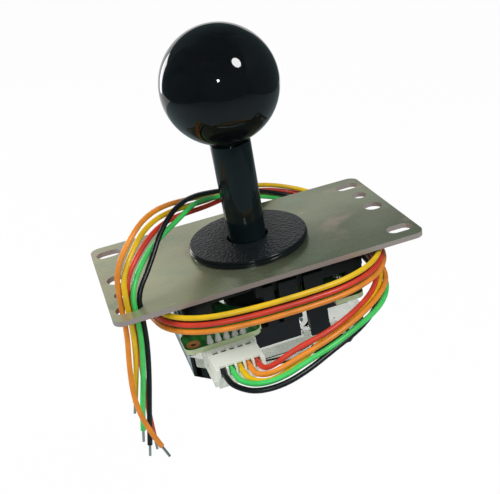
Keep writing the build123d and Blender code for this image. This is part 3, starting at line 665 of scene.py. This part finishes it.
class LEVER_OT_stick(bpy.types.Operator):
    """Ball top, shaft cover and what shows of the shaft"""

    bl_idname = "lever.stick"
    bl_label = "Stick"

    def execute(self, context):
        colours = context.scene.lever_colours
        self.add_ball(polished("ball_gloss", colours.ball, rough=0.04))
        self.add_tube(polished("tube_gloss", colours.tube, rough=0.10))
        dress("ball_insert", metal("insert_brass", (0.72, 0.52, 0.22)))
        dress("shaft", metal("shaft_steel", (0.66, 0.66, 0.66), rough=0.2))
        dress("e_ring", metal("ring_steel", (0.30, 0.29, 0.27), rough=0.35))
        return {"FINISHED"}

    def add_ball(self, gloss):
        """A sphere cut flat below, with a short neck, a stud hole and the insert's wider bore."""
        radius, foot, top = reach("ball_top")
        insert, insert_foot, insert_top = reach("ball_insert")
        stud, neck, flat = 3.05, 5.0, 5.5
        last_angle, points = 89, 100
        middle = top - radius
        start = -np.degrees(np.arccos(flat / radius))
        flat_height = middle + radius * np.sin(np.radians(start))
        profile = [
            (0, insert_top), (insert, insert_top), (insert, insert_foot), (stud, insert_foot), (stud, foot),
            (neck, foot), (neck, flat_height),
            *arc((0, middle), radius, start, last_angle, points),
            (0, top),
        ]
        settle(turned("ball_skin", profile), "stick", gloss, "ball_top")

    def add_tube(self, gloss):
        """A slightly flared tube with rounded ends."""
        radius, foot, top = reach("shaft_cover")
        bore, taper, rounding = 5.05, 0.25, 0.3
        profile = ring_profile(bore, foot, top, radius - taper, radius, rounding)
        settle(turned("tube_skin", profile), "stick", gloss, "shaft_cover")


class LEVER_OT_plate(bpy.types.Operator):
    """Plate, screws, washer and slip disc"""

    bl_idname = "lever.plate"
    bl_label = "Plate"

    def execute(self, context):
        colours = context.scene.lever_colours
        # The plate's finish paints reflection at its left and shade at its right
        dress("mounting_plate", zinc_plate(colours.plate_lit, colours.plate_shaded))
        dress("plate_screws", metal("screw_zinc", (0.58, 0.57, 0.52), rough=0.3, grain=(300.0,) * 3))
        washer = turned("washer_skin", self.washer_profile(*reach("dust_washer")), RIM_STEPS)
        pebble = washer_pebble(colours.washer, context.scene.lever_sizes.pebble)
        settle(washer, "washer", pebble, "dust_washer")
        dress("slip_disc", moulded("slip_nylon", (0.008, 0.010, 0.011), rough=0.2, depth=0.00001))
        return {"FINISHED"}

    def washer_profile(self, radius, foot, top):
        """The washer's section: a rounded bead, a fine groove and a rounded, set-back upper edge."""
        hole, bead, bead_end, bead_steps = 6.5, 0.35, 80, 13
        groove, groove_rise, lip, lip_rise = 0.25, 0.05, 0.02, 0.2
        set_back, edge = 0.2, 0.4
        upper = radius - set_back
        bead_top = foot + 2 * bead
        return [
            (hole, foot),
            *arc((radius - bead, foot + bead), bead, -90, bead_end, bead_steps),
            (upper - groove, bead_top + groove_rise),
            (upper - lip, bead_top + lip_rise),
            *arc((upper - edge, top - edge), edge, 0, 90, CORNER_STEPS),
            (hole, top),
            (hole, foot),
        ]


class LEVER_OT_mechanism(bpy.types.Operator):
    """Housing, pivot, spring, actuator and gate"""

    bl_idname = "lever.mechanism"
    bl_label = "Mechanism"

    def execute(self, context):
        black = context.scene.lever_colours.housing
        dress("housing", moulded("housing_black", black, rough=0.4, grain=800.0, depth=0.00005, shine=0.35))
        acetal = moulded("acetal_white", (0.70, 0.69, 0.64), rough=0.35, grain=500.0, depth=0.00002)
        dress("pivot_ball", acetal)
        dress("spring_seat", acetal)
        self.add_spring(metal("spring_wire", (0.60, 0.60, 0.60), rough=0.25, grain=(700.0,) * 3))
        dress("actuator", moulded("actuator_black", (0.014, 0.015, 0.016), rough=0.4))
        dress("restrictor_gate", clear_gate("gate_clear"))
        dress("gate_guide", clear_gate("guide_clear"))
        return {"FINISHED"}

    def add_spring(self, finish):
        """The return spring, made in two pieces: its lower turns and its last turn."""
        outside, foot, top = reach("return_spring")
        wire, turns, seated = 1.0, 5, 1
        radius = outside - wire / 2
        low, high = foot + wire / 2, top - wire / 2
        pitch = (high - low) / turns
        joined = high - seated * pitch
        lower = coiled("spring_lower", radius, wire, low, pitch, 0, turns - seated)
        upper = coiled("spring_upper", radius, wire, low, pitch, turns - seated, turns)
        joined * MM
        low * MM
        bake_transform(lower)
        high * MM
        joined * MM
        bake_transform(upper)
        for piece in (lower, upper):
            piece.data.materials.append(finish.material)
            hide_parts("return_spring")


class LEVER_OT_electrics(bpy.types.Operator):
    """Circuit board, switches, header, plug and solder"""

    bl_idname = "lever.electrics"
    bl_label = "Electrics"

    def execute(self, context):
        dress("circuit_board", board_mask(TAB_HOLE))
        # A dark brown, partly metallic fill for the tab's hole, which looks dark
        old_copper = metal("old_copper", (0.12, 0.05, 0.025), rough=0.45, grain=(900.0,) * 3, metallic=0.3)
        self.add_hole_fill(old_copper)
        case = moulded("switch_black", (0.008, 0.008, 0.010), rough=0.45, shine=0.4)
        button = moulded("plunger_red", (0.45, 0.03, 0.02), rough=0.4)
        for side in SIDES:
            dress(f"switch_{side}", case)
            dress(f"plunger_{side}", button)
        solder = metal("solder", (0.78, 0.77, 0.72), rough=0.26, grain=(500.0,) * 3, metallic=0.55)
        dress("solder_joints", solder)
        dress("switch_pins", solder)
        dress("header_pins", metal("pin_tin", (0.72, 0.70, 0.66)))
        dress("crimp_contacts", metal("crimp_tin", (0.40, 0.38, 0.34)))
        pale = context.scene.lever_colours.connector
        nylon = moulded("connector_nylon", pale, rough=0.42, grain=600.0, depth=0.00002)
        dress("pin_header", nylon)
        dress("connector_plug", nylon)
        return {"FINISHED"}

    def add_hole_fill(self, finish):
        """A dark plug in the tab's hole: a flat foot, an upright side and a top that sinks to its middle."""
        low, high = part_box("circuit_board")
        radius, dish, foot_gap, top_gap = 0.8, 0.15, 0.05, 0.1
        foot, top = low.z / MM + foot_gap, high.z / MM - top_gap
        shoulder = (radius * 0.6, top - dish * 0.7)
        profile = [(0, foot), (radius, foot), (radius, top), shoulder, (0, top - dish)]
        fill = turned("hole_fill", profile, HOLE_STEPS, TAB_HOLE)
        fill.data.materials.append(finish.material)
        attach(fill, "base")


def level(left, right, near, far, height):
    """Corners of a card that lies flat."""
    return [(left, near, height), (right, near, height), (right, far, height), (left, far, height)]


def upright(start, stop, low, high):
    """Corners of a card that stands on the line from start to stop."""
    return [(*start, low), (*stop, low), (*stop, high), (*start, high)]


def card(name, corners, finish):
    """A flat card of the studio."""
    mesh = bpy.data.meshes.new(name)
    mesh.from_pydata(corners, [], [range(len(corners))])
    mesh.materials.append(finish.material)
    piece = bpy.data.objects.new(name, mesh)
    bpy.context.collection.objects.link(piece)
    return piece


def add_floor(height):
    """White to the camera, in gloss and through glass, with a soft shadow, and unseen from below."""
    half_width, white_share = 4, 0.97
    finish = Finish("floor_white", Base_Color=(0.9, 0.9, 0.9), Roughness=0.9, Specular_IOR_Level=0.0)
    glow = finish.add("ShaderNodeEmission", None, {"Color": WHITE, "Strength": 1.0})
    dull = Tone(finish, finish.shader.outputs[0])
    blend = finish.add("ShaderNodeMixShader", None, {0: finish.seen() * white_share, 1: dull, 2: glow})
    under = finish.add("ShaderNodeNewGeometry", output="Backfacing")
    clear = finish.add("ShaderNodeBsdfTransparent")
    one_sided = finish.add("ShaderNodeMixShader", None, {0: under, 1: blend, 2: clear})
    finish.feed(finish.tree.nodes["Material Output"].inputs["Surface"], one_sided)
    card("floor", level(-half_width, half_width, -half_width, half_width, height), finish)


def add_dark_cards(floor):
    """Dark cards round and above the lever and a grey table below it, which only gloss shows."""
    dark = Finish("card_black", Base_Color=(0.085, 0.125, 0.13), Roughness=1.0, Specular_IOR_Level=0.0)
    grey = Finish("card_grey", Base_Color=(0.31, 0.39, 0.40), Roughness=1.0, Specular_IOR_Level=0.0)
    left, right, near, low, high = -0.6, 0.35, -0.5, -0.10, 1.1
    table = floor + 0.002
    cards = [
        card("front_card", upright((left, near), (right, near), low, high), dark),
        card("top_card", level(-1.5, 1.5, near, 1.9, high), dark),
        card("right_card", upright((right, near), (right, 0.5), low, high), dark),
        card("left_card", upright((left, near), (left, 0.9), low, high), dark),
        card("back_card", upright((-0.2, 0.25), (right, 0.25), 0.14, 0.7), dark),
        card("table_card", level(-0.9, 0.9, -0.9, 0.5, table), grey),
    ]
    for piece in cards:
        piece.visible_camera = False
        piece.visible_diffuse = False
        piece.visible_transmission = False
        piece.visible_shadow = False


def add_lamp(name, place, size, power, colour=WHITE, glossy=True):
    """A soft lamp, width by height in metres and power in watts, that looks at the lever's shaft."""
    light = bpy.data.lights.new(name, "AREA")
    light.shape = "ELLIPSE"
    light.size, light.size_y = size
    light.energy = power
    light.color = colour
    piece = bpy.data.objects.new(name, light)
    bpy.context.collection.objects.link(piece)
    piece.location = place
    piece.rotation_euler = (Vector(LAMP_AIM) - Vector(place)).to_track_quat("-Z", "Y").to_euler()
    piece.visible_camera = False
    piece.visible_glossy = glossy


def add_room():
    """White to the camera, in gloss and through glass, and a dim grey light on everything else."""
    dim_grey = (0.38, 0.39, 0.41)
    world = bpy.data.worlds.new("studio")
    world.use_nodes = True
    nodes = Nodes(world.node_tree)
    white = nodes.add("ShaderNodeBackground", None, {"Color": WHITE, "Strength": 1.0})
    dim = nodes.add("ShaderNodeBackground", None, {"Color": dim_grey, "Strength": 1.0})
    blend = nodes.add("ShaderNodeMixShader", None, {0: nodes.seen(), 1: dim, 2: white})
    nodes.feed(world.node_tree.nodes["World Output"].inputs["Surface"], blend)
    bpy.context.scene.world = world


class LEVER_OT_stage(bpy.types.Operator):
    """White floor, dark cards, soft lamps and the room"""

    bl_idname = "lever.stage"
    bl_label = "Stage"

    def execute(self, context):
        context.scene.view_settings.view_transform = "Standard"
        add_floor(context.scene.lever_sizes.floor)
        add_dark_cards(context.scene.lever_sizes.floor)
        add_room()
        add_lamp("flash", (-0.07, -0.29, 0.165), size=(0.02, 0.02), power=0.18, colour=(0.90, 0.95, 1.0))
        add_lamp("ceiling_lamp", (0.23, -0.30, 0.37), size=(0.13, 0.15), power=1.3)
        add_lamp("window", (-0.50, 1.00, 0.24), size=(0.28, 0.95), power=3.2)
        add_lamp("soft_box", (-0.55, 0.1, 0.40), size=(0.45, 0.45), power=2.8, glossy=False)
        return {"FINISHED"}


class LEVER_PT_panel(bpy.types.Panel):
    """Sizes, colours and steps of the lever's dressing"""

    bl_idname = "LEVER_PT_panel"
    bl_label = "Lever"
    bl_space_type = "VIEW_3D"
    bl_region_type = "UI"
    bl_category = "Lever"

    def draw(self, context):
        for group in (context.scene.lever_sizes, context.scene.lever_colours):
            for key in type(group).__annotations__:
                self.layout.prop(group, key)
        for operator in OPERATORS:
            self.layout.operator(operator.bl_idname)


OPERATORS = (
    LEVER_OT_camera, LEVER_OT_wires, LEVER_OT_stick, LEVER_OT_plate, LEVER_OT_mechanism, LEVER_OT_electrics,
    LEVER_OT_stage,
)
CLASSES = (LeverColours, LeverSizes, *OPERATORS, LEVER_PT_panel)


def register():
    for item in CLASSES:
        bpy.utils.register_class(item)
    bpy.types.Scene.lever_colours = PointerProperty(type=LeverColours)
    bpy.types.Scene.lever_sizes = PointerProperty(type=LeverSizes)


def unregister():
    del bpy.types.Scene.lever_sizes
    del bpy.types.Scene.lever_colours
    for item in reversed(CLASSES):
        bpy.utils.unregister_class(item)


def main():
    register()
    bpy.ops.lever.camera()
    bpy.ops.lever.wires()
    bpy.ops.lever.stick()
    bpy.ops.lever.plate()
    bpy.ops.lever.mechanism()
    bpy.ops.lever.electrics()
    bpy.ops.lever.stage()


if __name__ == "__main__":
    main()
